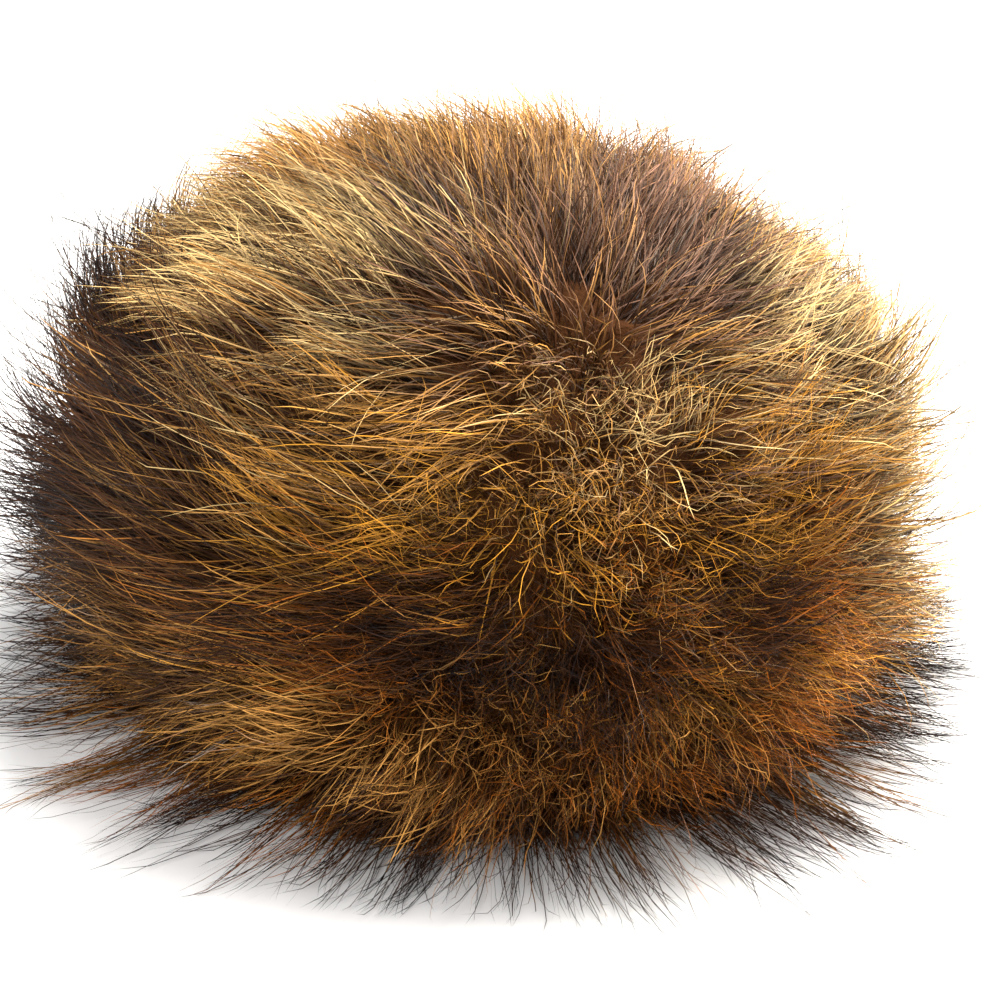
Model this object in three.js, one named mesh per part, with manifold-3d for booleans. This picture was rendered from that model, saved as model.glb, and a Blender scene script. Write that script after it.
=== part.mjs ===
// A round deep-fur hat: a band and a domed crown of pelt, each a thin hollow wall, with deep fur standing on it in locks.
// Millimetres, +Z up. The origin is the middle of the head opening, on the plane that the rim rests on.
// The front of the hat faces -Y, and its fur is combed from there towards the back on both sides.

import * as THREE from "three";
import { mergeVertices } from "three/addons/utils/BufferGeometryUtils.js";
import Module from "manifold-3d";

// Driving sizes of the pelt
const headWidth = 166;
const headLength = 196;
const wallThickness = 3;
const bandHeight = 80;
const bandTaper = 8;
const crownRise = 26;
const crownRoundness = 2.6;

// Driving sizes of the fur
const bandFurDepth = 56;
const crownFurDepth = 46;
const bandLockWidth = 38;
const crownLockWidth = 36;
const lockFlatness = 0.72;
const lockUnevenness = 0.05;
const partingSlope = 39;
const floorClearance = 0.6;
const seamGap = 0.3;

// Steps of the facets
const stepsAround = 36;
const crownSteps = 6;
const lockSides = 5;

// How deep in the fur the locks are rooted, and how far out the thick underfur reaches, as shares of the fur's depth
const rootDepth = 0.36;
const underfurDepth = 0.6;

// The band's locks in rows, from the rim up. height is a share of the band's height, and reach of its fur's depth.
// lift is how far a lock points up or down, and sweep how far it is combed round the head, both against 1 outwards.
const bandRows = [
  { height: 0.12, reach: 0.97, lift: -0.1, sweep: 0.6, start: 0.0 },
  { height: 0.38, reach: 1.0, lift: -0.16, sweep: 0.7, start: 0.5 },
  { height: 0.66, reach: 1.0, lift: 0.0, sweep: 0.7, start: 0.0 },
  { height: 0.97, reach: 0.97, lift: 0.32, sweep: 0.6, start: 0.5 },
];

// The crown's locks in rings. spread is a share of the way from the middle to the crown's edge, and reach of its
// fur's depth. lean is how far a lock falls outwards, against 1 up.
const crownRows = [
  { spread: 0.02, reach: 0.98, lean: 0.2, start: 0.0 },
  { spread: 0.34, reach: 1.0, lean: 0.36, start: 0.5 },
  { spread: 0.67, reach: 1.02, lean: 0.6, start: 0.0 },
  { spread: 1.0, reach: 1.02, lean: 1.1, start: 0.5 },
];

// Outline of the thick underfur, from the floor to the crown. wide is a share of the pelt's own half-widths there,
// out a share of the band fur's depth added to them, high a share of the band's height, and top of the crown's
// height with its fur.
const underfurOutline = [
  { wide: 1.0, out: 0.42, high: 0.0, top: 0.0 },
  { wide: 1.0, out: 0.56, high: 0.14, top: 0.0 },
  { wide: 1.0, out: 0.62, high: 0.42, top: 0.0 },
  { wide: 1.0, out: 0.62, high: 0.78, top: 0.0 },
  { wide: 1.0, out: 0.59, high: 1.0, top: 0.1 },
  { wide: 1.0, out: 0.48, high: 1.0, top: 0.46 },
  { wide: 1.0, out: 0.25, high: 1.0, top: 0.76 },
  { wide: 0.84, out: 0.0, high: 1.0, top: 0.91 },
  { wide: 0.46, out: 0.0, high: 1.0, top: 0.98 },
];

// Sections of one lock, from its root to its tip. along is a share of its length, and size of its width.
const lockSections = [
  { along: 0.0, size: 0.92 },
  { along: 0.42, size: 1.0 },
  { along: 0.76, size: 0.62 },
];

const wasm = await Module();
wasm.setup();

// The crown sits on the band's top edge with the same outside.
const crownHalfX = headWidth / 2 - bandTaper + wallThickness;
const crownHalfY = headLength / 2 - bandTaper + wallThickness;
const crownFoot = bandHeight + seamGap;
const crownEdge = crownFoot + wallThickness;

// Half-widths of the band's inner face, at a share of the band's height.
function bandInside(share) {
  return { halfX: headWidth / 2 - bandTaper * share, halfY: headLength / 2 - bandTaper * share };
}

// The dome's height over its foot, at a share of the way from its middle to its edge.
function domeHeight(share) {
  return crownRise * (1 - share ** crownRoundness);
}

function ovalPoint(halfX, halfY, angle, z) {
  return new THREE.Vector3(halfX * Math.cos(angle), halfY * Math.sin(angle), z);
}

// One ring of points round the hat, on an oval grown by a length.
function ring({ halfX, halfY }, grown, z) {
  const angles = Array.from({ length: stepsAround }, (_, i) => (2 * Math.PI * i) / stepsAround);
  return angles.map((angle) => ovalPoint(halfX + grown, halfY + grown, angle, z));
}

function middlePoint(z) {
  return [new THREE.Vector3(0, 0, z)];
}

// A closed skin over rings of points, each joined to the next. A looped skin joins its last ring to its first, and any
// other starts and ends in a single point.
function skin(rings, looped = false) {
  const positions = [];
  const addFace = (...corners) => corners.forEach((corner) => positions.push(...corner.toArray()));
  const joins = looped ? rings.length : rings.length - 1;
  for (let k = 0; k < joins; k++) {
    const lower = rings[k];
    const upper = rings[(k + 1) % rings.length];
    const sides = Math.max(lower.length, upper.length);
    for (let i = 0; i < sides; i++) {
      const next = (i + 1) % sides;
      if (lower.length > 1) addFace(lower[i], lower[next], upper[next % upper.length]);
      if (upper.length > 1) addFace(lower[i % lower.length], upper[next], upper[i]);
    }
  }
  const geometry = new THREE.BufferGeometry();
  geometry.setAttribute("position", new THREE.Float32BufferAttribute(positions, 3));
  return geometry;
}

function solidFrom(geometry) {
  const merged = mergeVertices(geometry, 1e-4);
  return new wasm.Manifold(
    new wasm.Mesh({
      numProp: 3,
      vertProperties: new Float32Array(merged.attributes.position.array),
      triVerts: new Uint32Array(merged.index.array),
    }),
  );
}

function geometryFrom(solid) {
  const mesh = solid.getMesh();
  const geometry = new THREE.BufferGeometry();
  geometry.setAttribute("position", new THREE.BufferAttribute(new Float32Array(mesh.vertProperties), 3));
  geometry.setIndex(new THREE.BufferAttribute(new Uint32Array(mesh.triVerts), 1));
  geometry.computeVertexNormals();
  return geometry;
}

// The largest body of a solid, without any tip of a lock that a cut left loose.
function largestBody(solid) {
  return solid.decompose().reduce((best, body) => (body.volume() > best.volume() ? body : best));
}

// Rings of the crown's dome from its edge to its middle, lifted by a length and grown by another.
function domeRings(lifted, grown = 0) {
  const rings = [];
  for (let k = 0; k < crownSteps; k++) {
    const share = Math.cos((Math.PI / 2) * (k / crownSteps));
    const scaled = { halfX: (crownHalfX + grown) * share, halfY: (crownHalfY + grown) * share };
    rings.push(ring(scaled, 0, crownFoot + domeHeight(share) + lifted));
  }
  return [...rings, middlePoint(crownFoot + crownRise + lifted)];
}

function bandPeltGeometry() {
  const shares = [0, 0.5, 1];
  const outside = shares.map((share) => ring(bandInside(share), wallThickness, share * bandHeight));
  const inside = shares.map((share) => ring(bandInside(share), 0, share * bandHeight));
  return skin([...outside, ...inside.reverse()], true);
}

function crownPeltGeometry() {
  return skin([...domeRings(0).reverse(), ...domeRings(wallThickness)]);
}

// The whole hat's pelt and hollow as one solid, grown by the gap that the fur keeps to it.
function peltClearance() {
  const grown = wallThickness + seamGap;
  const below = -bandHeight;
  return solidFrom(
    skin([
      middlePoint(below),
      ring(bandInside(0), grown, below),
      ring(bandInside(0), grown, 0),
      ring(bandInside(1), grown, bandHeight),
      ...domeRings(grown, seamGap),
    ]),
  );
}

// The height of the parting between the band's fur and the crown's, at a distance out from the crown's edge.
function partingHeight(out) {
  return crownEdge + out * Math.tan(THREE.MathUtils.degToRad(partingSlope));
}

// The room over the parting, a cone that opens upwards, lowered by a length.
function roomOverParting(lowered) {
  const far = 3 * bandFurDepth;
  const crown = { halfX: crownHalfX, halfY: crownHalfY };
  const foot = partingHeight(0) - lowered;
  const head = partingHeight(far) - lowered;
  return solidFrom(skin([middlePoint(foot), ring(crown, 0, foot), ring(crown, far, head), middlePoint(head)]));
}

function roomUnderFloor() {
  const far = headLength + bandFurDepth;
  const block = new THREE.BoxGeometry(2 * far, 2 * far, bandHeight);
  block.translate(0, 0, floorClearance - bandHeight / 2);
  return solidFrom(block.deleteAttribute("normal").deleteAttribute("uv"));
}

// The thick underfur as one solid lump round the whole hat.
function underfur() {
  const rings = underfurOutline.map(({ wide, out, high, top }) => {
    const { halfX, halfY } = bandInside(high);
    const grown = wallThickness + out * bandFurDepth;
    const z = high * bandHeight + top * (crownRise + underfurDepth * crownFurDepth);
    return ring({ halfX: halfX * wide, halfY: halfY * wide }, grown, z);
  });
  const apex = bandHeight + crownRise + underfurDepth * crownFurDepth;
  return solidFrom(skin([middlePoint(0), ...rings, middlePoint(apex)]));
}

// One lock of fur: a flat horn that bends and tapers to a point, with its broad side along breadth.
function lock({ root, heading, bend, length, breadth, width }) {
  const spine = (along) =>
    root
      .clone()
      .addScaledVector(heading, along * length)
      .addScaledVector(bend, along * along * length);
  const rings = lockSections.map(({ along, size }) => {
    const forward = heading.clone().addScaledVector(bend, 2 * along).normalize();
    const side = breadth.clone().projectOnPlane(forward).normalize();
    const thick = forward.clone().cross(side);
    const half = (size * width) / 2;
    return Array.from({ length: lockSides }, (_, i) => {
      const turn = (2 * Math.PI * i) / lockSides;
      return spine(along)
        .addScaledVector(side, half * Math.cos(turn))
        .addScaledVector(thick, half * lockFlatness * Math.sin(turn));
    });
  });
  return solidFrom(skin([[spine(0)], ...rings, [spine(1)]]));
}

// A steady unevenness between neighbouring locks.
function uneven(index, row) {
  return 1 + lockUnevenness * Math.sin(2.4 * index + 1.7 * row);
}

// Calls place for each lock of a row round an oval, as many as fit side by side at their own width.
function roundTheHat({ halfX, halfY }, width, start, place) {
  const girth = Math.PI * (halfX + halfY);
  const count = Math.max(1, Math.round(girth / width));
  return Array.from({ length: count }, (_, i) => {
    const angle = (2 * Math.PI * (i + start)) / count - Math.PI / 2;
    const outwards = new THREE.Vector3(Math.cos(angle) / halfX, Math.sin(angle) / halfY, 0).normalize();
    const around = new THREE.Vector3(-outwards.y, outwards.x, 0);
    return place({ angle, outwards, around, index: i });
  });
}

// The band's fur is combed from the front to the back on both sides, so it parts at the front and meets at the back.
function combing(angle) {
  return Math.sign(Math.cos(angle)) * Math.sqrt(Math.abs(Math.cos(angle)));
}

function bandLocks() {
  const rootOut = wallThickness + rootDepth * bandFurDepth;
  return bandRows.flatMap(({ height, reach, lift, sweep, start }, row) => {
    const { halfX, halfY } = bandInside(height);
    const middle = { halfX: halfX + bandFurDepth, halfY: halfY + bandFurDepth };
    return roundTheHat(middle, bandLockWidth, start, ({ angle, outwards, around, index }) => {
      const combed = sweep * combing(angle);
      const size = uneven(index, row);
      return lock({
        root: ovalPoint(halfX + rootOut, halfY + rootOut, angle, height * bandHeight),
        heading: outwards.clone().addScaledVector(around, combed / 2).add(new THREE.Vector3(0, 0, lift)),
        bend: around.clone().multiplyScalar(combed / 2),
        length: (reach - rootDepth) * bandFurDepth * size,
        breadth: around,
        width: bandLockWidth * size,
      });
    });
  });
}

function crownLocks() {
  const rootUp = crownEdge + rootDepth * crownFurDepth;
  return crownRows.flatMap(({ spread, reach, lean, start }, row) => {
    const halfX = crownHalfX * spread;
    const halfY = crownHalfY * spread;
    return roundTheHat({ halfX, halfY }, crownLockWidth, start, ({ angle, outwards, around, index }) => {
      const size = uneven(index, row);
      return lock({
        root: ovalPoint(halfX, halfY, angle, rootUp + domeHeight(spread)),
        heading: new THREE.Vector3(0, 0, 1).addScaledVector(outwards, lean / 2),
        bend: outwards.clone().multiplyScalar(lean / 2),
        length: (reach - rootDepth) * crownFurDepth * size,
        breadth: around,
        width: crownLockWidth * size,
      });
    });
  });
}

// Underfur and locks joined, and cleared of the pelt.
function furOf(locks) {
  return wasm.Manifold.union([underfur(), ...locks]).subtract(peltClearance());
}

function bandFurGeometry() {
  const fur = furOf(bandLocks()).subtract(roomOverParting(seamGap / 2)).subtract(roomUnderFloor());
  return geometryFrom(largestBody(fur));
}

function crownFurGeometry() {
  return geometryFrom(largestBody(furOf(crownLocks()).intersect(roomOverParting(-seamGap / 2))));
}

function piece(name, geometry, colour, roughness) {
  const mesh = new THREE.Mesh(geometry, new THREE.MeshStandardMaterial({ color: colour, roughness, metalness: 0 }));
  mesh.name = name;
  return mesh;
}

const hat = new THREE.Group();
hat.add(piece("band_pelt", bandPeltGeometry(), 0x6b4f38, 0.85));
hat.add(piece("crown_pelt", crownPeltGeometry(), 0x6b4f38, 0.85));
hat.add(piece("band_fur", bandFurGeometry(), 0x8a5a22, 0.7));
hat.add(piece("crown_fur", crownFurGeometry(), 0xa98a5c, 0.7));

export default hat;
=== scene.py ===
import bpy
import numpy as np
from mathutils import Matrix, Vector


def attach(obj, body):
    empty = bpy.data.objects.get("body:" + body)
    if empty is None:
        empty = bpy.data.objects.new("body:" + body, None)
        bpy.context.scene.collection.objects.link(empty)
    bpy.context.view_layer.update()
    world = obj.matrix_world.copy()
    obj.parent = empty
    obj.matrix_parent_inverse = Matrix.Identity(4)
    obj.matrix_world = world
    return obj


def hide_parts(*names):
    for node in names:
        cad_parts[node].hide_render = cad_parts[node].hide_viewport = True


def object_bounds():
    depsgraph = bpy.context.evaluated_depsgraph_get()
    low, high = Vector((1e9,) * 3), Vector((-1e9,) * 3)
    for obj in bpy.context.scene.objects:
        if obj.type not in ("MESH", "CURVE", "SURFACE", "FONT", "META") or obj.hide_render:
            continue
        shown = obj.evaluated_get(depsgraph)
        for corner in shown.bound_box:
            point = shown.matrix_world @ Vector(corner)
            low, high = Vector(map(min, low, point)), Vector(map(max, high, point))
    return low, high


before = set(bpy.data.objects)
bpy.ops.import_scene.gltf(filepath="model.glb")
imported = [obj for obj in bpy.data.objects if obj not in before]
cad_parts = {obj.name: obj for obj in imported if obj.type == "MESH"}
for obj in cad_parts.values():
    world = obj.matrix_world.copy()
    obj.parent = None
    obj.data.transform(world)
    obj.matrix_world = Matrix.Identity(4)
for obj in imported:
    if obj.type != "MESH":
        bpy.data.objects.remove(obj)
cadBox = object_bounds()
dice = np.random.default_rng(41)

# The hat's own measures, in metres, as the pelt is cut.
# around is in degrees from the front, towards the wearer's left at +X.
# up is 0 at the rim, 1 at the band's top edge and 2 at the middle of the crown.
hat = {
    "rimHalf": (0.086, 0.101),
    "crownHalf": (0.078, 0.093),
    "bandTop": 0.080,
    "crownFoot": 0.0833,
    "crownRise": 0.026,
    "crownRoundness": 2.6,
    "bandDepth": 0.056,
    "crownDepth": 0.046,
    "standUp": [0, 0.15, 0.5, 0.8, 1.0, 1.15, 1.5, 2.0],
    "standAngle": [4, -3, -5, 8, 32, 50, 73, 90],
}


# Shader sums


class Wire:
    # One output of a node; sums written with it add Math nodes.
    def __init__(self, finish, socket):
        self.finish = finish
        self.socket = socket

    def sum(self, operation, first, second):
        return self.finish.node("Math", {"operation": operation}, {0: first, 1: second})

    def __add__(self, other):
        return self.sum("ADD", self, other)

    def __radd__(self, other):
        return self.sum("ADD", other, self)

    def __sub__(self, other):
        return self.sum("SUBTRACT", self, other)

    def __rsub__(self, other):
        return self.sum("SUBTRACT", other, self)

    def __mul__(self, other):
        return self.sum("MULTIPLY", self, other)

    def __rmul__(self, other):
        return self.sum("MULTIPLY", other, self)


class Finish:
    def __init__(self, name):
        self.material = bpy.data.materials.new(name)
        self.material.use_nodes = True
        self.tree = self.material.node_tree
        self.tree.nodes.clear()

    def node(self, kind, settings=None, sockets=None, out=0):
        made = self.tree.nodes.new("ShaderNode" + kind)
        for name, value in (settings or {}).items():
            if name == "stops":
                self.setStops(made.color_ramp, value)
            else:
                setattr(made, name, value)
        for name, value in (sockets or {}).items():
            if isinstance(value, Wire):
                self.tree.links.new(value.socket, made.inputs[name])
            else:
                made.inputs[name].default_value = value
        return Wire(self, made.outputs[out]) if made.outputs else made

    def setStops(self, ramp, stops):
        while len(ramp.elements) < len(stops):
            ramp.elements.new(1.0)
        for element, (place, level) in zip(ramp.elements, stops):
            element.position = place
            element.color = (level, level, level, 1.0) if isinstance(level, (int, float)) else level

    def strandValue(self, name):
        return self.node("Attribute", {"attribute_name": name}, out=2)

    def blendTones(self, first, second, share):
        return self.node("Mix", {"data_type": "RGBA"}, {0: share, 6: first, 7: second}, out=2)

    def dim(self, tone, level):
        if isinstance(tone, tuple):
            tone = tone[:3]
        return self.node("VectorMath", {"operation": "SCALE"}, {0: tone, 3: level})

    def ramp(self, value, stops):
        return self.node("ValToRGB", {"stops": stops}, {0: value})

    def noise(self, scale, detail=3.0, roughness=0.55):
        place = self.node("TexCoord", out=3)
        return self.node("TexNoise", {}, {
            "Vector": place, "Scale": scale, "Detail": detail, "Roughness": roughness})

    def output(self, shader):
        self.node("OutputMaterial", {}, {"Surface": shader})
        return self.material


tones = {
    # the pale straw tone is the pale hairs' own tone and also a painted glow on backlit hair ends
    "straw": (0.86, 0.60, 0.25, 1.0),
    "tan": (0.50, 0.245, 0.060, 1.0),
    "gold": (0.70, 0.315, 0.032, 1.0),
    "rust": (0.40, 0.115, 0.010, 1.0),
    "mauve": (0.24, 0.120, 0.070, 1.0),
    "ash": (0.32, 0.245, 0.19, 1.0),
    "bark": (0.080, 0.030, 0.009, 1.0),
    "umber": (0.040, 0.014, 0.005, 1.0),
    "soot": (0.008, 0.0055, 0.0065, 1.0),
}
toneOrder = ["gold", "rust", "mauve", "ash", "straw", "bark", "umber"]


def hairFinish(name, look):
    finish = Finish(name)
    along = finish.strandValue("along")
    shade = finish.strandValue("shade")
    tone = tones["tan"]
    for toneName in toneOrder:
        tone = finish.blendTones(tone, tones[toneName], finish.strandValue(toneName))
    rootShadow = finish.ramp(along, look["rootShadow"])
    tone = finish.blendTones(tone, tones["umber"], rootShadow)
    tipShare = finish.ramp(along, look["tipStart"])
    tone = finish.blendTones(tone, tones["soot"], tipShare * finish.strandValue("soot"))
    tone = finish.dim(tone, shade * look["shadeSpan"] + look["shadeFloor"])
    roughness = look["roughness"] + along * look["tipRoughness"] - shade * look["shadeRoughness"]
    rings = finish.node("Math", {"operation": "SINE"}, {0: along * look["ringCount"]})
    bump = finish.node("Bump", {}, {
        "Strength": look["bumpStrength"], "Distance": look["bumpDepth"], "Height": rings})
    hair = finish.node("BsdfPrincipled", {}, {
        "Base Color": tone, "Roughness": roughness, "Normal": bump,
        "Specular IOR Level": look["shine"], "Sheen Weight": look["sheen"]})
    return finish.output(hair)


guardFinish = hairFinish("guardHair", {
    "rootShadow": [(0.0, 1.0), (0.36, 0.92), (0.72, 0.0)],
    "tipStart": [(0.0, 0.0), (0.50, 0.0), (0.80, 1.0)],
    "ringCount": 420.0,
    "shadeRoughness": 0.1,
    "shadeFloor": 0.16,
    "shadeSpan": 1.45,
    "roughness": 0.42,
    "tipRoughness": 0.12,
    "bumpStrength": 0.25,
    "bumpDepth": 0.0001,
    "shine": 0.10,
    "sheen": 0.0,
})
# The underfur's low shade levels and its root darkening along most of its length are painted shade in the
# gaps between the guard hairs, over the underfur's own duller tone.
downFinish = hairFinish("underfur", {
    "rootShadow": [(0.0, 1.0), (0.40, 0.9), (0.95, 0.10)],
    "tipStart": [(0.0, 0.0), (0.6, 0.0), (1.0, 1.0)],
    "ringCount": 260.0,
    "shadeRoughness": 0.1,
    "shadeFloor": 0.20,
    "shadeSpan": 0.80,
    "roughness": 0.66,
    "tipRoughness": 0.1,
    "bumpStrength": 0.25,
    "bumpDepth": 0.0001,
    "shine": 0.08,
    "sheen": 0.06,
})


def bedFinish():
    # The bed's near-black umber and bark are painted shade for the fur's depths, over the dark bases of
    # the hairs.
    look = {"scale": 160.0, "detail": 5.0, "fineScale": 900.0, "fineDetail": 4.0, "fineShare": 0.5,
            "bump": 0.8, "depth": 0.002, "roughness": 0.9, "shine": 0.04}
    finish = Finish("furBed")
    lumps = finish.noise(look["scale"], look["detail"])
    fine = finish.noise(look["fineScale"], look["fineDetail"])
    tone = finish.blendTones(tones["umber"], tones["bark"], lumps)
    bump = finish.node("Bump", {}, {
        "Strength": look["bump"], "Distance": look["depth"], "Height": lumps + fine * look["fineShare"]})
    hide = finish.node("BsdfPrincipled", {}, {
        "Base Color": tone, "Roughness": look["roughness"], "Normal": bump,
        "Specular IOR Level": look["shine"]})
    return finish.output(hide)


def suedeFinish():
    look = {"dark": (0.36, 0.24, 0.15, 1.0), "pale": (0.54, 0.40, 0.27, 1.0), "grainScale": 420.0,
            "grainDetail": 6.0, "blotchScale": 18.0, "blotchDetail": 3.0, "bump": 0.6, "depth": 0.0005,
            "napShade": 0.5, "napFloor": 0.72, "roughness": 0.75, "napRoughness": 0.2, "sheen": 0.3}
    finish = Finish("peltSuede")
    blotch = finish.noise(look["blotchScale"], look["blotchDetail"])
    nap = finish.noise(look["grainScale"], look["grainDetail"])
    tone = finish.blendTones(look["dark"], look["pale"], blotch)
    tone = finish.dim(tone, nap * look["napShade"] + look["napFloor"])
    bump = finish.node("Bump", {}, {"Strength": look["bump"], "Distance": look["depth"], "Height": nap})
    hide = finish.node("BsdfPrincipled", {}, {
        "Base Color": tone, "Roughness": nap * look["napRoughness"] + look["roughness"],
        "Normal": bump, "Sheen Weight": look["sheen"]})
    return finish.output(hide)


# The pelt's surface, the fur's lie and its colours


def skinAt(around, up):
    turn = np.radians(around - 90)
    share = np.clip(2 - up, 0, 1)[..., None]
    rimHalf = np.array(hat["rimHalf"])
    crownHalf = np.array(hat["crownHalf"])
    climb = np.minimum(up, 1)[..., None]
    half = np.where(up[..., None] < 1, rimHalf + (crownHalf - rimHalf) * climb, crownHalf * share)
    dome = hat["crownFoot"] + hat["crownRise"] * (1 - share[..., 0] ** hat["crownRoundness"])
    height = np.where(up < 1, up * hat["bandTop"], dome)
    skin = np.stack([half[..., 0] * np.cos(turn), half[..., 1] * np.sin(turn), height], -1)
    side = np.stack([np.cos(turn) / rimHalf[0], np.sin(turn) / rimHalf[1], 0 * turn], -1)
    side /= np.linalg.norm(side, axis=-1, keepdims=True)
    stand = np.radians(np.interp(up, hat["standUp"], hat["standAngle"]))[..., None]
    out = side * np.cos(stand)
    out[..., 2] += np.sin(stand[..., 0])
    east = np.stack([-side[..., 1], side[..., 0], 0 * turn], -1)
    north = np.cross(out, east)
    depth = np.where(up < 1, hat["bandDepth"], hat["crownDepth"])
    return skin, out, east, north, depth


def ripple(place, size, seed):
    # smooth wander between -1 and 1 over a distance of about size metres
    draw = np.random.default_rng(seed)
    total = np.zeros(place.shape[:-1])
    waves = 7
    rateRange = (0.6, 1.5)
    swing = 2.1  # brings the sum of the waves out to about -1 and 1
    for _ in range(waves):
        heading = draw.normal(size=3)
        heading *= 2 * np.pi / size / np.linalg.norm(heading) * draw.uniform(*rateRange)
        total += np.sin(place @ heading + draw.uniform(0, 2 * np.pi))
    return np.clip(total / waves * swing, -1, 1)


# Where the fur's colours lie, by tone: around, up, half width in degrees, half height, strength.
# A half width of 360 goes all round.
furPatches = {
    "straw": [
        (-36, 1.29, 28, 0.22, 0.92),
        (-78, 1.20, 24, 0.18, 0.60),
        (-12, 1.34, 20, 0.20, 0.38),
        (20, 1.06, 13, 0.09, 0.55),
        (19, 0.84, 7, 0.10, 0.30),
        (60, 1.14, 30, 0.20, 0.55),
        (-30, 0.98, 22, 0.10, 0.38),
        (-56, 0.84, 20, 0.12, 0.20),
        (-140, 1.20, 40, 0.30, 0.70),
        (140, 1.15, 40, 0.25, 0.60),
        (180, 0.70, 30, 0.30, 0.45),
        (0, 2.00, 360, 0.40, 0.22),
        # The last two patches of this list, at the right edge, are a painted glow of hair ends lit from
        # behind.
        (78, 0.78, 20, 0.42, 1.05),
        (58, 0.94, 16, 0.16, 0.50),
    ],
    "gold": [
        (6, 0.90, 20, 0.13, 1.30),
        (38, 0.87, 22, 0.20, 1.40),
        (62, 0.82, 30, 0.42, 1.35),
        (-28, 0.70, 34, 0.30, 0.36),
        (110, 0.70, 30, 0.35, 0.60),
        (-150, 0.65, 36, 0.35, 0.55),
    ],
    "rust": [
        (36, 0.40, 30, 0.26, 0.80),
        (58, 0.30, 22, 0.24, 0.60),
        (-10, 0.14, 46, 0.20, 0.70),
        (14, 0.66, 36, 0.16, 1.00),
        (36, 0.64, 16, 0.14, 0.90),
        (150, 0.30, 40, 0.30, 0.50),
        (-120, 0.25, 36, 0.28, 0.40),
    ],
    "mauve": [
        (58, 1.34, 44, 0.34, 1.00),
        (6, 1.50, 44, 0.26, 0.75),
        (170, 1.45, 70, 0.30, 0.60),
    ],
    "ash": [
        (-42, 0.44, 14, 0.18, 0.60),
        (-160, 0.30, 30, 0.20, 0.40),
    ],
    "soot": [
        (-78, 0.46, 26, 0.34, 1.70),
        (-84, 0.72, 26, 0.25, 1.30),
        (68, 0.14, 18, 0.18, 1.60),
        (4, 0.30, 12, 0.10, 0.80),
        (22, 0.46, 12, 0.09, 0.80),
        (14, 0.66, 26, 0.11, 0.90),
        (20, 0.70, 5, 0.06, 0.80),
        (0, 0.00, 360, 0.16, 0.75),
        (-62, 0.68, 34, 0.34, 0.85),
        (80, 0.60, 20, 0.40, 0.40),
        (130, 0.35, 30, 0.25, 0.50),
        (-130, 0.55, 30, 0.25, 0.45),
    ],
    "umber": [
        (68, 0.14, 17, 0.15, 1.40),
        (-84, 0.64, 22, 0.40, 1.40),
        (-52, 0.62, 12, 0.10, 0.60),
    ],
    "bark": [
        (0, 0.80, 360, 9.00, 0.30),
        (-70, 0.70, 60, 0.50, 0.48),
        (0, 0.10, 360, 0.30, 0.80),
        (4, 1.55, 34, 0.30, 0.62),
        (-12, 1.28, 14, 0.12, 0.34),
        (-40, 0.40, 30, 0.20, 0.50),
        (-56, 0.78, 34, 0.34, 1.15),
        (-60, 1.00, 30, 0.16, 0.70),
        (8, 0.66, 28, 0.12, 1.00),
        (-26, 0.68, 18, 0.12, 0.80),
        (-6, 1.72, 60, 0.22, 0.50),
        (60, 1.42, 40, 0.28, 0.30),
        (20, 0.62, 7, 0.07, 0.95),
        (2, 0.74, 7, 0.06, 0.75),
        (34, 0.34, 12, 0.08, 0.85),
        (-150, 0.45, 40, 0.25, 0.60),
        (114, 0.55, 30, 0.40, 0.75),
        (165, 1.30, 40, 0.25, 0.50),
    ],
}


def patchAmount(toneName, around, up):
    fadeRate = 0.7  # a patch is half gone at its half width
    amount = np.zeros(around.shape)
    for middle, height, halfWidth, halfHeight, strength in furPatches[toneName]:
        off = (around - middle + 180) % 360 - 180
        if halfWidth >= 180:
            off = 0 * off
        spread = (off / halfWidth) ** 2 + ((up - height) / halfHeight) ** 2
        amount = np.maximum(amount, strength * np.exp(-fadeRate * spread))
    return amount


comb = {
    "bandParting": 18.0,
    "bandWhorlWidth": 26.0,
    "backFade": 40.0,
    "bandSweep": 0.034,
    "mussed": 0.016,
    "mussedSize": 0.030,
    "mussedSeeds": (21, 22),
    "mussedFloor": 0.25,
    "fan": 1.15,
    "level": 0.60,
    "rimSweep": 0.30,
    "restLean": 0.3,
    "crownWhorl": (0.022, -0.078),
    "crownWhorlWidth": 0.030,
    "crownSweep": 0.036,
    "seam": (0.92, 0.16),
    "whorlSpan": (30.0, 0.7, 0.4),
}


def combAt(around, up, skin, out, east, north):
    # how far the tips lie over, as a vector along the pelt
    off = (around - comb["bandParting"] + 180) % 360 - 180
    backFade = np.clip((180 - np.abs(off)) / comb["backFade"], 0, 1)
    sideways = np.tanh(off / comb["bandWhorlWidth"]) * backFade
    sideways = sideways * (comb["rimSweep"] + (1 - comb["rimSweep"]) * np.clip(up / comb["level"], 0, 1))
    leaning = comb["restLean"] + (1 - comb["restLean"]) * np.abs(sideways)
    fan = comb["fan"] * (np.minimum(up, 1) - comb["level"]) * leaning
    bandLie = (east * sideways[:, None] + north * fan[:, None]) * comb["bandSweep"]
    away = skin[:, :2] - np.array(comb["crownWhorl"])
    distance = np.linalg.norm(away, axis=1)
    push = comb["crownSweep"] * np.tanh(distance / comb["crownWhorlWidth"]) / np.maximum(distance, 1e-6)
    crownLie = np.concatenate([away * push[:, None], 0 * away[:, :1]], 1)
    crownLie -= out * np.sum(crownLie * out, 1, keepdims=True)
    seamStart, seamWidth = comb["seam"]
    share = np.clip((up - seamStart) / seamWidth, 0, 1)[:, None]
    lie = bandLie * (1 - share) + crownLie * share
    mussed = comb["mussed"] * (comb["mussedFloor"] + whorlShare(around, up))[:, None]
    eastSeed, northSeed = comb["mussedSeeds"]
    swirl = east * ripple(skin, comb["mussedSize"], eastSeed)[:, None]
    swirl = swirl + north * ripple(skin, comb["mussedSize"], northSeed)[:, None]
    return lie + swirl * mussed


# Strands

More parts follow.
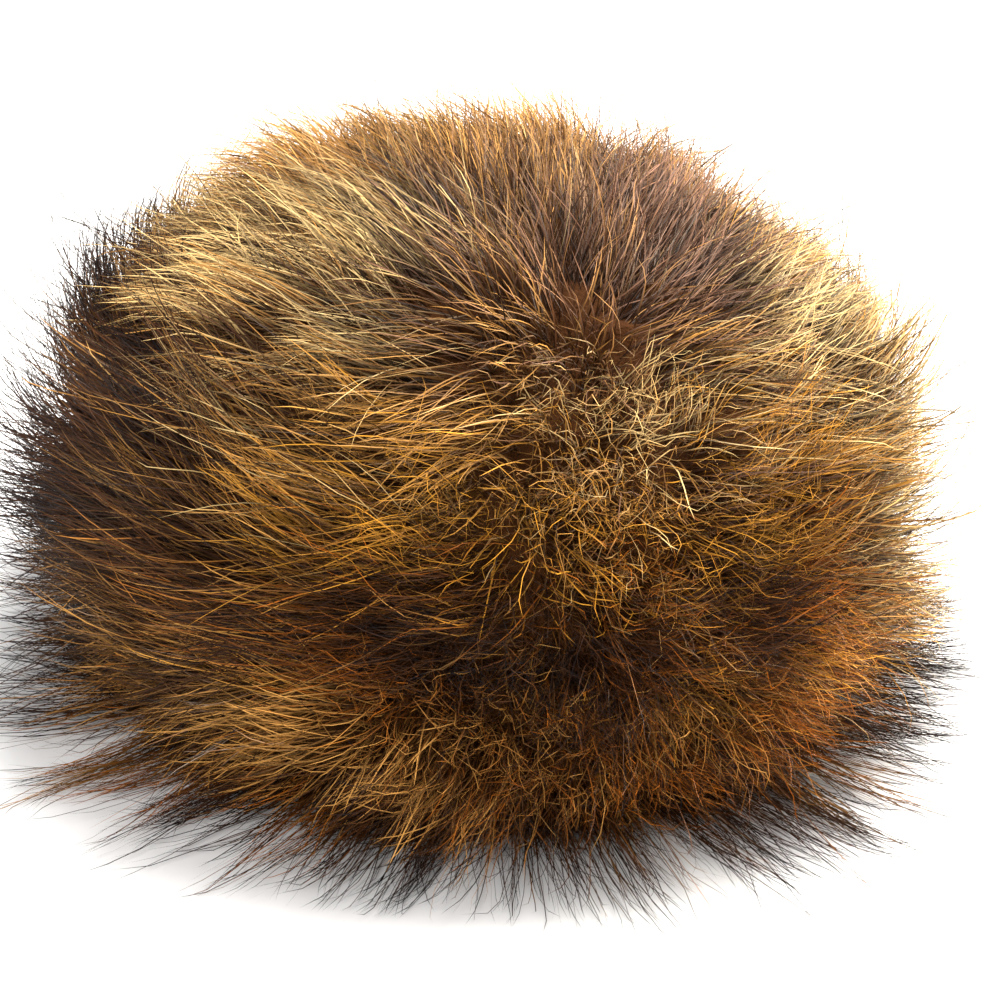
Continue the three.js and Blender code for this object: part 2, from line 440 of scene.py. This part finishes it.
hairMargin = np.array([0.016, 0.016, 0.011])  # how far hair may stand out past the solids' box
floorGap = 0.0012
floorWave = {"height": 0.0004, "rate": 900}


def evenSpread(count):
    # an even scatter over a unit square, by two steps that never fall in line
    firstStep, secondStep = 0.7548776662, 0.5698402910
    place = np.arange(count) + 0.5
    return np.modf(place * firstStep)[0], np.modf(place * secondStep)[0]


def clumpRoots(zone, count):
    first, second = evenSpread(count)
    around = first * 360 - 180
    if zone == "band":
        return around, second
    return around, 2 - np.sqrt(second)


def turned(vector, axis, angle):
    # swings each vector about its own axis
    cosine, sine = np.cos(angle)[:, None], np.sin(angle)[:, None]
    return vector * cosine + np.cross(axis, vector) * sine


def growClumps(zone, count, coat):
    around, up = clumpRoots(zone, count)
    if "keep" in coat:
        kept = coat["keep"](around, up)
        around, up = around[kept], up[kept]
        count = len(around)
    skin, out, east, north, depth = skinAt(around, up)
    lockCount = coat[zone + "Locks"]
    lockAround, lockUp = clumpRoots(zone, lockCount)
    lockSkin = skinAt(lockAround, lockUp)[0]
    gaps = np.linalg.norm(skin[:, None] - lockSkin[None], axis=2)
    gaps = gaps + dice.normal(0, coat["lockBlur"], (count, lockCount))
    lock = np.argmin(gaps, axis=1)
    lockLength = dice.normal(0, coat["lockLengthSpread"], lockCount)[lock]
    lockTurn = dice.normal(0, coat["lockTurn"], lockCount)[lock]
    lockLuck = dice.uniform(0, 1, lockCount)[lock]
    lie = turned(combAt(around, up, skin, out, east, north), out, lockTurn)
    swell = ripple(skin, coat["lumpSize"], coat["seed"])
    length = 1 + coat["lumpSpan"] * swell + lockLength + dice.normal(0, coat["lengthSpread"], count)
    rimShare = np.clip(1 - up / coat["rimZone"], 0, 1)
    frontShare = whorlShare(around, up)
    tipReach = coat[zone + "TipReach"] * length * (1 - coat["rimDrawIn"] * rimShare)
    tipReach = tipReach * (1 - coat["frontDrawIn"] * frontShare)
    sideShare = np.sin(np.radians(around))
    leftMore = 1 - coat["rightLess"] * sideShare
    lowShare = np.clip(1 - up / coat["sideZone"], 0, 1)
    tipReach = tipReach - coat["sideShorten"] * np.abs(sideShare) ** 3 * leftMore * lowShare
    rootReach = coat["rootReach"] * (1 - coat["rimRootDrawIn"] * rimShare)
    stray = dice.normal(0, coat["combSpread"], (count, 3))
    stray -= out * np.sum(stray * out, 1, keepdims=True)
    lie = (lie + stray) * coat["combShare"]
    inward = lockSkin[lock] - skin
    inward -= out * np.sum(inward * out, 1, keepdims=True)
    travel = np.array(coat["travel"])[None, :, None]
    rise = 1 - (1 - travel) ** coat["riseBend"]
    reach = rootReach[:, None, None] + (tipReach - rootReach)[:, None, None] * rise
    path = skin[:, None] + out[:, None] * depth[:, None, None] * reach
    path = path + lie[:, None] * travel ** coat["lieBend"]
    path = path + inward[:, None] * (coat["lockGather"] * travel ** coat["lockBend"])
    return {"around": around, "up": up, "out": out, "east": east, "north": north,
            "path": path, "swell": swell, "lockLuck": lockLuck}


def growStrands(clumps, perClump, coat):
    count = len(clumps["around"])
    owner = np.repeat(np.arange(count), perClump)
    total = len(owner)
    east, north, out = clumps["east"][owner], clumps["north"][owner], clumps["out"][owner]
    shift = dice.normal(0, coat["clumpSize"], (total, 2))
    offset = east * shift[:, :1] + north * shift[:, 1:]
    length = np.clip(1 + dice.normal(0, coat["strandSpread"], total), *coat["lengthRange"])
    lead = clumps["path"][owner]
    start = lead[:, :1]
    travel = np.array(coat["travel"])[None, :, None]
    path = start + (lead - start) * length[:, None, None]
    pull = coat["gather"] * dice.uniform(*coat["gatherRange"], total)[:, None, None]
    path = path + offset[:, None] * (1 - pull * travel ** coat["gatherBend"])
    heading = path[:, -1] - path[:, 0]
    heading /= np.linalg.norm(heading, axis=1, keepdims=True)
    sideways = np.cross(heading, out)
    sideways /= np.maximum(np.linalg.norm(sideways, axis=1, keepdims=True), 1e-6)
    upward = np.cross(sideways, heading)
    frontShare = whorlShare(clumps["around"], clumps["up"])
    crinkle = coat["crinkle"] * (1 + coat["whorlCrinkle"] * frontShare)[owner]
    crinkle = crinkle * dice.uniform(*coat["crinkleRange"], total)
    upwardCycles = coat["cycles"] * coat["upwardQuicker"]
    for direction, cycles in ((sideways, coat["cycles"]), (upward, upwardCycles)):
        phase = clumps["around"][owner] * coat["phaseDrift"] + dice.normal(0, coat["phaseSpread"], total)
        turns = cycles * travel[..., 0] * dice.uniform(*coat["cycleRange"], total)[:, None]
        swing = np.sin(2 * np.pi * turns + phase[:, None]) - np.sin(phase)[:, None]
        swing = swing * travel[..., 0] ** coat["crinkleBend"] * crinkle[:, None]
        path = path + direction[:, None] * swing[..., None]
    flyaway = dice.normal(0, coat["flyaway"], (total, 3))
    path = path + flyaway[:, None] * travel ** 2
    path = trimToBox(path)
    layOnFloor(path)
    strands = {name: clumps[name][owner] for name in ("around", "up", "out", "swell", "lockLuck")}
    return dict(strands, path=path, owner=owner, heading=heading)


def layOnFloor(path):
    # what would reach below the surface lies just above it, in low waves
    lift = floorGap + floorWave["height"] * np.sin(path[..., 0] * floorWave["rate"])
    path[..., 2] = np.where(path[..., 2] < floorGap, lift, path[..., 2])


def trimToBox(path):
    # shortens a strand that would stand too far beyond the fur's box
    leastShare = 0.2
    plenty = 9
    lowest = np.array(cadBox[0]) - hairMargin
    highest = np.array(cadBox[1]) + hairMargin
    root = path[:, :1]
    step = path - root
    room = np.where(step > 0, highest - root, root - lowest) / np.maximum(np.abs(step), 1e-6)
    share = np.clip(room[..., :2].min(axis=(1, 2)), leastShare, 1)
    roomAbove = np.where(step[..., 2] > 0, room[..., 2], plenty).min(axis=1)
    share = np.minimum(share, roomAbove.clip(leastShare, 1))
    return root + step * share[:, None, None]


def whorlShare(around, up):
    halfWidth, middle, halfHeight = comb["whorlSpan"]
    off = (around - comb["bandParting"] + 180) % 360 - 180
    return np.exp(-(off / halfWidth) ** 2) * np.exp(-((up - middle) / halfHeight) ** 2)


# How far neighbouring hairs share their luck with colour, and how sharply a tone sets in
blend = {
    "aroundBlur": 6,
    "upBlur": 0.05,
    "mottle": 0.55,
    "mottleSize": 0.034,
    "lockShare": 0.25,
    "clumpShare": 0.25,
    "hairShare": 0.5,
    "edge": 3,
    "swellShade": 0.16,
    "lockShade": 0.30,
    "hairShade": 0.27,
}


def colourStrands(strands, clumps, coat):
    total = len(strands["around"])
    owner = strands["owner"]
    clumpLuck = dice.uniform(0, 1, len(clumps["around"]))[owner]
    values = {}
    for toneSeed, toneName in enumerate(toneOrder + ["soot"]):
        around = strands["around"] + dice.normal(0, blend["aroundBlur"], total)
        up = strands["up"] + dice.normal(0, blend["upBlur"], total)
        mottle = 1 + blend["mottle"] * ripple(strands["path"][:, 0], blend["mottleSize"], toneSeed)
        amount = patchAmount(toneName, around, up) * mottle * coat["toneShare"].get(toneName, 1.0)
        luck = blend["lockShare"] * strands["lockLuck"] + blend["clumpShare"] * clumpLuck
        luck = luck + blend["hairShare"] * dice.uniform(0, 1, total)
        values[toneName] = np.clip((amount - luck) * blend["edge"] + 0.5, 0, 1)
    shade = 0.5 + blend["swellShade"] * strands["swell"] + blend["lockShade"] * (strands["lockLuck"] - 0.5)
    shade = shade + dice.normal(0, blend["hairShade"], total)
    values["shade"] = np.clip(shade, 0, 1)
    return values


def ribbonFaces(points):
    # two corners at each point of a strand, one at its tip
    faces = []
    for place in range(points - 2):
        left = 2 * place
        faces.append((left, left + 1, left + 3))
        faces.append((left, left + 3, left + 2))
    left = 2 * (points - 2)
    faces.append((left, left + 1, left + 2))
    return np.array(faces)


def strandMesh(name, strands, values, coat, chosen):
    path = strands["path"][chosen]
    total, points = path.shape[:2]
    tangent = np.gradient(path, axis=1)
    tangent /= np.maximum(np.linalg.norm(tangent, axis=2, keepdims=True), 1e-9)
    facing = strands["out"][chosen] + dice.normal(0, coat["twist"], (total, 3))
    side = np.cross(strands["heading"][chosen], facing)[:, None]
    side = side - tangent * np.sum(side * tangent, 2, keepdims=True)
    side /= np.maximum(np.linalg.norm(side, axis=2, keepdims=True), 1e-9)
    travel = np.array(coat["travel"])
    width = coat["width"] * dice.uniform(*coat["widthRange"], total)[:, None]
    width = width * (1 - coat["taper"] * travel[None, :])
    reach = side * (0.5 * width)[..., None]
    pairs = np.stack([path - reach, path + reach], 2).reshape(total, 2 * points, 3)
    corners = np.concatenate([pairs[:, :-2], path[:, -1:]], 1)
    perStrand = 2 * points - 1
    pattern = ribbonFaces(points)
    faces = (pattern[None] + (np.arange(total) * perStrand)[:, None, None]).reshape(-1, 3)
    mesh = bpy.data.meshes.new(name)
    mesh.vertices.add(total * perStrand)
    mesh.vertices.foreach_set("co", corners.astype(np.float32).ravel())
    mesh.loops.add(faces.size)
    mesh.loops.foreach_set("vertex_index", faces.astype(np.int32).ravel())
    mesh.polygons.add(len(faces))
    mesh.polygons.foreach_set("loop_start", np.arange(0, faces.size, 3, dtype=np.int32))
    mesh.update(calc_edges=True)
    # one cell of the bake for each strand, with room around it
    cells = int(np.ceil(np.sqrt(total)))
    column = np.arange(total) % cells
    row = np.arange(total) // cells
    inset = 0.2
    cornerTravel = np.append(np.repeat(travel[:-1], 2), 1.0)
    across = np.append(np.tile([inset, 1 - inset], points - 1), 0.5)
    lengthwise = inset + cornerTravel * (1 - 2 * inset)
    flatAcross = (column[:, None] + across[None]) / cells
    flatLengthwise = (row[:, None] + lengthwise[None]) / cells
    flat = np.stack([flatAcross, flatLengthwise], -1)
    layer = mesh.uv_layers.new(name="OFBake")
    layer.data.foreach_set("uv", flat.reshape(-1, 2)[faces.ravel()].astype(np.float32).ravel())
    for valueName, level in dict(values, along=None).items():
        attribute = mesh.attributes.new(valueName, "FLOAT", "POINT")
        if level is None:
            spread = np.tile(cornerTravel, total)
        else:
            spread = np.repeat(level[chosen], perStrand)
        attribute.data.foreach_set("value", spread.astype(np.float32))
    piece = bpy.data.objects.new(name, mesh)
    bpy.context.collection.objects.link(piece)
    return piece


def settle(piece, node, finish):
    piece.data.materials.clear()
    piece.data.materials.append(finish)
    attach(piece, "root")
    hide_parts(node)
    print("made", piece.name, len(piece.data.polygons), "faces")


# Fur beds under the hair, their near-black a painted shade of the fur's depths


def furBed(name, zone):
    # a closed ring over the band, or a closed dome over the crown
    bed = {"steps": 160, "rows": 20, "reach": 0.56, "rimReach": 0.26, "rimZone": 0.3, "lump": 0.09,
           "lumpSize": 0.018, "lumpSeed": 5, "clear": 0.02, "inset": 0.02}
    closed = zone == "band"
    around = np.linspace(-180, 180, bed["steps"], endpoint=False)
    up = np.linspace(bed["inset"], 1.0, bed["rows"])
    if not closed:
        up = 2 - up[::-1]
    aroundGrid, upGrid = np.meshgrid(around, up)
    skin, out, _, _, depth = skinAt(aroundGrid, upGrid)
    lump = ripple(skin, bed["lumpSize"], bed["lumpSeed"]) * bed["lump"]
    fade = np.clip(upGrid / bed["rimZone"], 0, 1)
    reach = bed["rimReach"] + (bed["reach"] - bed["rimReach"]) * fade + lump * fade
    outer = skin + out * (depth * reach)[..., None]
    inner = skin + out * (depth * bed["clear"])[..., None]
    steps = bed["steps"]
    corners = np.concatenate([inner[::-1], outer], 0).reshape(-1, 3)
    ringCount = 2 * bed["rows"]
    ringIndex = np.arange(ringCount if closed else ringCount - 1)
    following = (ringIndex + 1) % ringCount
    step = np.arange(steps)
    nextStep = (step + 1) % steps
    quads = np.stack([
        (ringIndex[:, None] * steps + step[None]).ravel(),
        (ringIndex[:, None] * steps + nextStep[None]).ravel(),
        (following[:, None] * steps + nextStep[None]).ravel(),
        (following[:, None] * steps + step[None]).ravel()], 1)
    faces = quads.tolist()
    if not closed:
        faces.append(list(range(steps))[::-1])
        faces.append(list(range((ringCount - 1) * steps, ringCount * steps)))
    mesh = bpy.data.meshes.new(name)
    mesh.from_pydata(corners.tolist(), [], faces)
    mesh.update()
    piece = bpy.data.objects.new(name, mesh)
    bpy.context.collection.objects.link(piece)
    return piece


bedShadeFinish = bedFinish()
settle(furBed("bandBed", "band"), "band_fur", bedShadeFinish)
settle(furBed("crownBed", "crown"), "crown_fur", bedShadeFinish)

# The coats

quickShare = 1.0

guardCoat = {
    "bandClumps": 3800,
    "crownClumps": 1650,
    "bandLocks": 300,
    "crownLocks": 130,
    "perClump": 8,
    "travel": [0.0, 0.2, 0.36, 0.52, 0.68, 0.84, 1.0],
    "seed": 11,
    "lumpSize": 0.045,
    "lumpSpan": 0.08,
    "lengthSpread": 0.05,
    "lockLengthSpread": 0.08,
    "lockTurn": 0.30,
    "lockGather": 0.55,
    "lockBlur": 0.0015,
    "lockBend": 1.3,
    "rootReach": 0.48,
    "bandTipReach": 0.84,
    "crownTipReach": 0.77,
    "rimZone": 0.30,
    "rimDrawIn": 0.42,
    "rimRootDrawIn": 0.45,
    "frontDrawIn": 0.10,
    "sideShorten": 0.20,
    "sideZone": 0.45,
    "rightLess": 0.8,
    "combSpread": 0.004,
    "combShare": 1.0,
    "riseBend": 1.9,
    "lieBend": 1.4,
    "clumpSize": 0.0042,
    "gather": 0.65,
    "gatherRange": (0.5, 1.1),
    "gatherBend": 1.5,
    "strandSpread": 0.13,
    "lengthRange": (0.5, 1.35),
    "crinkle": 0.0010,
    "crinkleRange": (0.3, 1.6),
    "crinkleBend": 0.8,
    "whorlCrinkle": 0.5,
    "cycles": 0.9,
    "upwardQuicker": 1.3,
    "cycleRange": (0.7, 1.3),
    "phaseDrift": 0.7,
    "phaseSpread": 1.3,
    "flyaway": 0.0026,
    "twist": 0.45,
    "width": 0.00046,
    "widthRange": (0.7, 1.3),
    "taper": 0.6,
    "toneShare": {},
}
downCoat = dict(
    guardCoat,
    bandClumps=3700,
    crownClumps=1700,
    perClump=6,
    travel=[0.0, 0.40, 0.70, 1.0],
    seed=12,
    bandTipReach=0.66,
    crownTipReach=0.62,
    rimDrawIn=0.45,
    frontDrawIn=0.0,
    rootReach=0.42,
    combShare=0.7,
    clumpSize=0.0045,
    gather=0.3,
    strandSpread=0.16,
    crinkle=0.0014,
    cycles=1.0,
    flyaway=0.0030,
    twist=0.7,
    width=0.00060,
    toneShare={"straw": 0.25, "gold": 0.7, "rust": 0.9, "mauve": 1.2, "soot": 0.8, "ash": 0.6},
)
strayCoat = dict(
    guardCoat,
    bandClumps=1300,
    crownClumps=520,
    perClump=3,
    bandTipReach=1.08,
    crownTipReach=1.00,
    rimDrawIn=0.0,
    clumpSize=0.0024,
    gather=0.8,
    strandSpread=0.12,
    crinkle=0.0014,
    flyaway=0.0040,
    width=0.00030,
    toneShare={"straw": 1.5, "soot": 1.6},
)
curlCoat = dict(
    guardCoat,
    bandClumps=5200,
    crownClumps=1500,
    keep=lambda around, up: whorlShare(around, up) > 0.32,
    rootReach=0.50,
    bandTipReach=0.86,
    crownTipReach=0.84,
    frontDrawIn=0.0,
    combSpread=0.009,
    combShare=0.5,
    clumpSize=0.0040,
    gather=0.2,
    lockGather=0.1,
    strandSpread=0.2,
    crinkle=0.0017,
    cycles=1.3,
    flyaway=0.0044,
    width=0.00024,
)
fringeCoat = dict(
    guardCoat,
    bandClumps=2600,
    keep=lambda around, up: up < 0.20,
    rootReach=0.30,
    bandTipReach=1.24,
    rimDrawIn=0.0,
    sideShorten=0.44,
    lengthSpread=0.10,
    riseBend=1.3,
    combSpread=0.007,
    clumpSize=0.0030,
    gather=0.85,
    flyaway=0.0035,
    width=0.00034,
    toneShare={"soot": 1.5, "rust": 1.3},
)


def growCoat(title, zone, node, coat, finish, regions):
    count = int(coat[zone + "Clumps"] * quickShare)
    clumps = growClumps(zone, count, coat)
    strands = growStrands(clumps, coat["perClump"], coat)
    values = colourStrands(strands, clumps, coat)
    around = strands["around"]
    for region, (lowest, highest) in regions.items():
        if lowest > highest:
            chosen = (around >= lowest) | (around < highest)
        else:
            chosen = (around >= lowest) & (around < highest)
        settle(strandMesh(zone + title + region, strands, values, coat, chosen), node, finish)


quarters = {"Front": (-30, 60), "Left": (60, 150), "Back": (150, -120), "Right": (-120, -30)}
whole = {"": (-181, 181)}
halves = {"Front": (-90, 90), "Back": (90, -90)}
growCoat("Guard", "band", "band_fur", guardCoat, guardFinish, quarters)
growCoat("Guard", "crown", "crown_fur", guardCoat, guardFinish, halves)
growCoat("Curls", "band", "band_fur", curlCoat, guardFinish, whole)
growCoat("Curls", "crown", "crown_fur", curlCoat, guardFinish, whole)
growCoat("RimFringe", "band", "band_fur", fringeCoat, guardFinish, whole)
growCoat("LongHairs", "band", "band_fur", strayCoat, guardFinish, whole)
growCoat("LongHairs", "crown", "crown_fur", strayCoat, guardFinish, whole)
growCoat("Underfur", "band", "band_fur", downCoat, downFinish, halves)
growCoat("Underfur", "crown", "crown_fur", downCoat, downFinish, halves)

# The pelt under the fur

suede = suedeFinish()
for nodeName in ("band_pelt", "crown_pelt"):
    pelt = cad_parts[nodeName]
    pelt.data.materials.clear()
    pelt.data.materials.append(suede)
print("pelt finished")

# Floor, lights and camera


def layFloor():
    floor = {"half": 40.0, "tone": (0.86, 0.86, 0.87, 1.0), "mottleScale": 6.0, "mottle": 0.04,
             "brightness": 0.97, "roughness": 0.8}
    half = floor["half"]
    mesh = bpy.data.meshes.new("floor")
    corners = [(-half, -half, 0), (half, -half, 0), (half, half, 0), (-half, half, 0)]
    mesh.from_pydata(corners, [], [(0, 1, 2, 3)])
    plane = bpy.data.objects.new("floor", mesh)
    bpy.context.collection.objects.link(plane)
    finish = Finish("paleFloor")
    soft = finish.noise(floor["mottleScale"])
    tone = finish.dim(floor["tone"], soft * floor["mottle"] + floor["brightness"])
    card = finish.node("BsdfPrincipled", {}, {"Base Color": tone, "Roughness": floor["roughness"]})
    mesh.materials.append(finish.output(card))


roomLights = {
    "windowLight": {"place": (0.35, 0.75, 1.9), "aimHeight": 0.07, "size": 0.9, "power": 84,
                    "tone": (1.0, 0.97, 0.92)},
    "edgeLight": {"place": (1.4, 0.9, 0.50), "aimHeight": 0.08, "size": 0.7, "power": 64,
                  "tone": (1.0, 0.93, 0.80)},
    "roomFill": {"place": (-0.9, -1.6, 1.3), "aimHeight": 0.07, "size": 1.6, "power": 24,
                 "tone": (1.0, 0.98, 0.95)},
}
roomAir = {"tone": (1.0, 0.99, 0.975, 1.0), "strength": 0.8}


def hangLight(name, lamp):
    light = bpy.data.lights.new(name, "AREA")
    light.shape = "DISK"
    light.size = lamp["size"]
    light.energy = lamp["power"]
    light.color = lamp["tone"]
    hung = bpy.data.objects.new(name, light)
    hung.location = lamp["place"]
    aim = Vector((0, 0, lamp["aimHeight"])) - Vector(lamp["place"])
    hung.rotation_euler = aim.to_track_quat("-Z", "Y").to_euler()
    bpy.context.collection.objects.link(hung)


def lightRoom():
    for name, lamp in roomLights.items():
        hangLight(name, lamp)
    world = bpy.data.worlds.new("room")
    world.use_nodes = True
    air = world.node_tree.nodes["Background"]
    air.inputs["Color"].default_value = roomAir["tone"]
    air.inputs["Strength"].default_value = roomAir["strength"]
    world.cycles.sampling_method = "NONE"  # an even room needs no sampling of its own
    bpy.context.scene.world = world


def setCamera():
    shot = {"elevation": 24.0, "distance": 0.65, "roll": 5.0, "aim": (0.006, 0.0, 0.037), "lens": 76.5}
    lift = np.radians(shot["elevation"])
    lean = np.radians(shot["roll"])
    back = Vector((0, -np.cos(lift), np.sin(lift)))
    right = Vector((1, 0, 0))
    upright = back.cross(right)
    tiltedRight = right * np.cos(lean) + upright * np.sin(lean)
    tiltedUp = back.cross(tiltedRight)
    camera = bpy.data.objects.new("camera", bpy.data.cameras.new("camera"))
    camera.data.lens = shot["lens"]
    camera.data.sensor_width = 36.0
    place = Vector(shot["aim"]) + back * shot["distance"]
    turn = Matrix((tiltedRight, tiltedUp, back)).transposed()
    camera.matrix_world = Matrix.Translation(place) @ turn.to_4x4()
    bpy.context.collection.objects.link(camera)
    bpy.context.scene.camera = camera


layFloor()
lightRoom()
setCamera()
bpy.context.scene.view_settings.view_transform = "Standard"
print("room ready")
